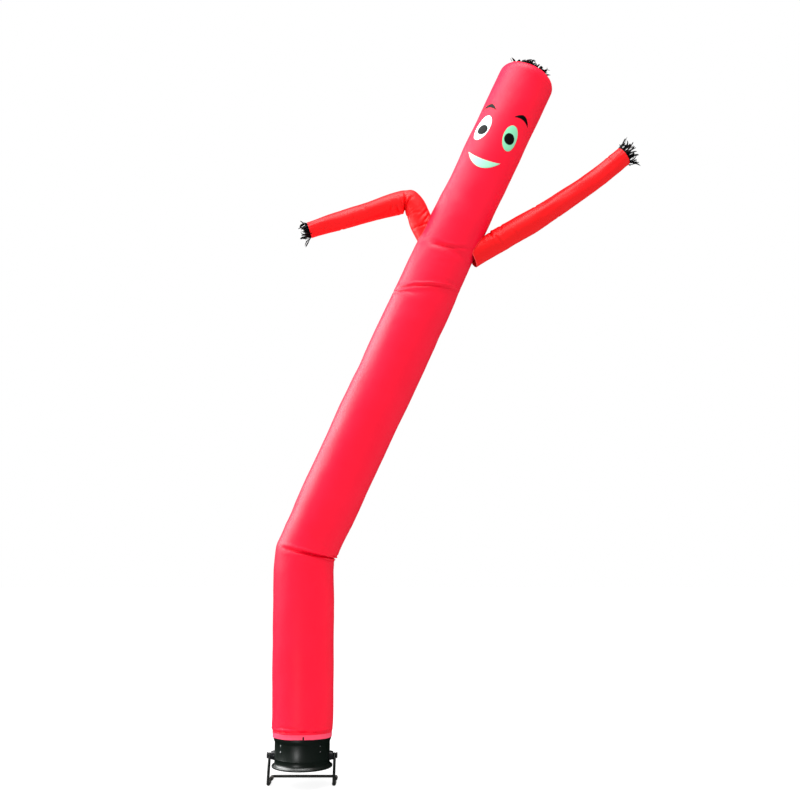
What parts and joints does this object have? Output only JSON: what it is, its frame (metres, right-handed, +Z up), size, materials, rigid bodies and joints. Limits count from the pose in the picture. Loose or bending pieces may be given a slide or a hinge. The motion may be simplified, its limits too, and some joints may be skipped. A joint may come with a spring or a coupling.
{
  "type": "inflatable air dancer on a fan blower with a tube stand",
  "caption": "Inflated cloth tube figure with open arms, domed head vented at the top, smiling face and fringed head and hands, leaning in the wind over a round fan blower on a bent-tube stand.",
  "frame": {"origin": "on the floor, under the middle of the whole object's width and depth", "axes": "+Z up, +X towards the side the figure leans to (the picture's right), +Y to the back, so the face looks to -Y"},
  "size_m": [2.9577, 0.491, 5.7182],
  "materials": {
    "red_nylon": "thin coated nylon, softly glossy, rose red",
    "orange_red_nylon": "thin coated nylon, softly glossy, orange red",
    "black_nylon": "thin coated nylon, black",
    "white_nylon": "thin coated nylon, off-white",
    "mint_nylon": "thin coated nylon, pale mint green",
    "black_paint": "black powder coat, half gloss",
    "black_plastic": "moulded black plastic",
    "zinc_steel": "zinc-plated rivet head",
    "grey_iron": "dark grey painted casting",
    "black_rubber": "matt black rubber sleeve"
  },
  "bodies": {
    "root": {"trunk_sleeve": "red_nylon", "arm_sleeve_left": "orange_red_nylon", "arm_sleeve_right": "orange_red_nylon", "fringe_head": "black_nylon", "fringe_hand_left": "black_nylon", "fringe_hand_right": "black_nylon", "eye_left": "white_nylon", "eye_right": "mint_nylon", "mouth": "mint_nylon", "pupil_left": "black_nylon", "pupil_right": "black_nylon", "brow_left": "black_nylon", "brow_right": "black_nylon", "blower_drum": "black_paint", "motor_strut_1": "black_paint", "motor_strut_2": "black_paint", "motor_strut_3": "black_paint", "motor_strut_4": "black_paint", "inlet_guard": "black_paint", "stand_tube": "black_paint", "blower_motor": "grey_iron", "blower_fan": "black_plastic", "pivot_boss_left": "black_plastic", "pivot_boss_right": "black_plastic", "pivot_cap_left": "black_plastic", "pivot_cap_right": "black_plastic", "cord_gland": "black_plastic", "rivet_1": "zinc_steel", "rivet_2": "zinc_steel", "rivet_3": "zinc_steel", "rivet_4": "zinc_steel", "rivet_5": "zinc_steel", "rivet_6": "zinc_steel", "rivet_7": "zinc_steel", "rivet_8": "zinc_steel", "foot_front_left": "black_rubber", "foot_front_right": "black_rubber", "foot_rear_left": "black_rubber", "foot_rear_right": "black_rubber"}
  },
  "joints": []
}
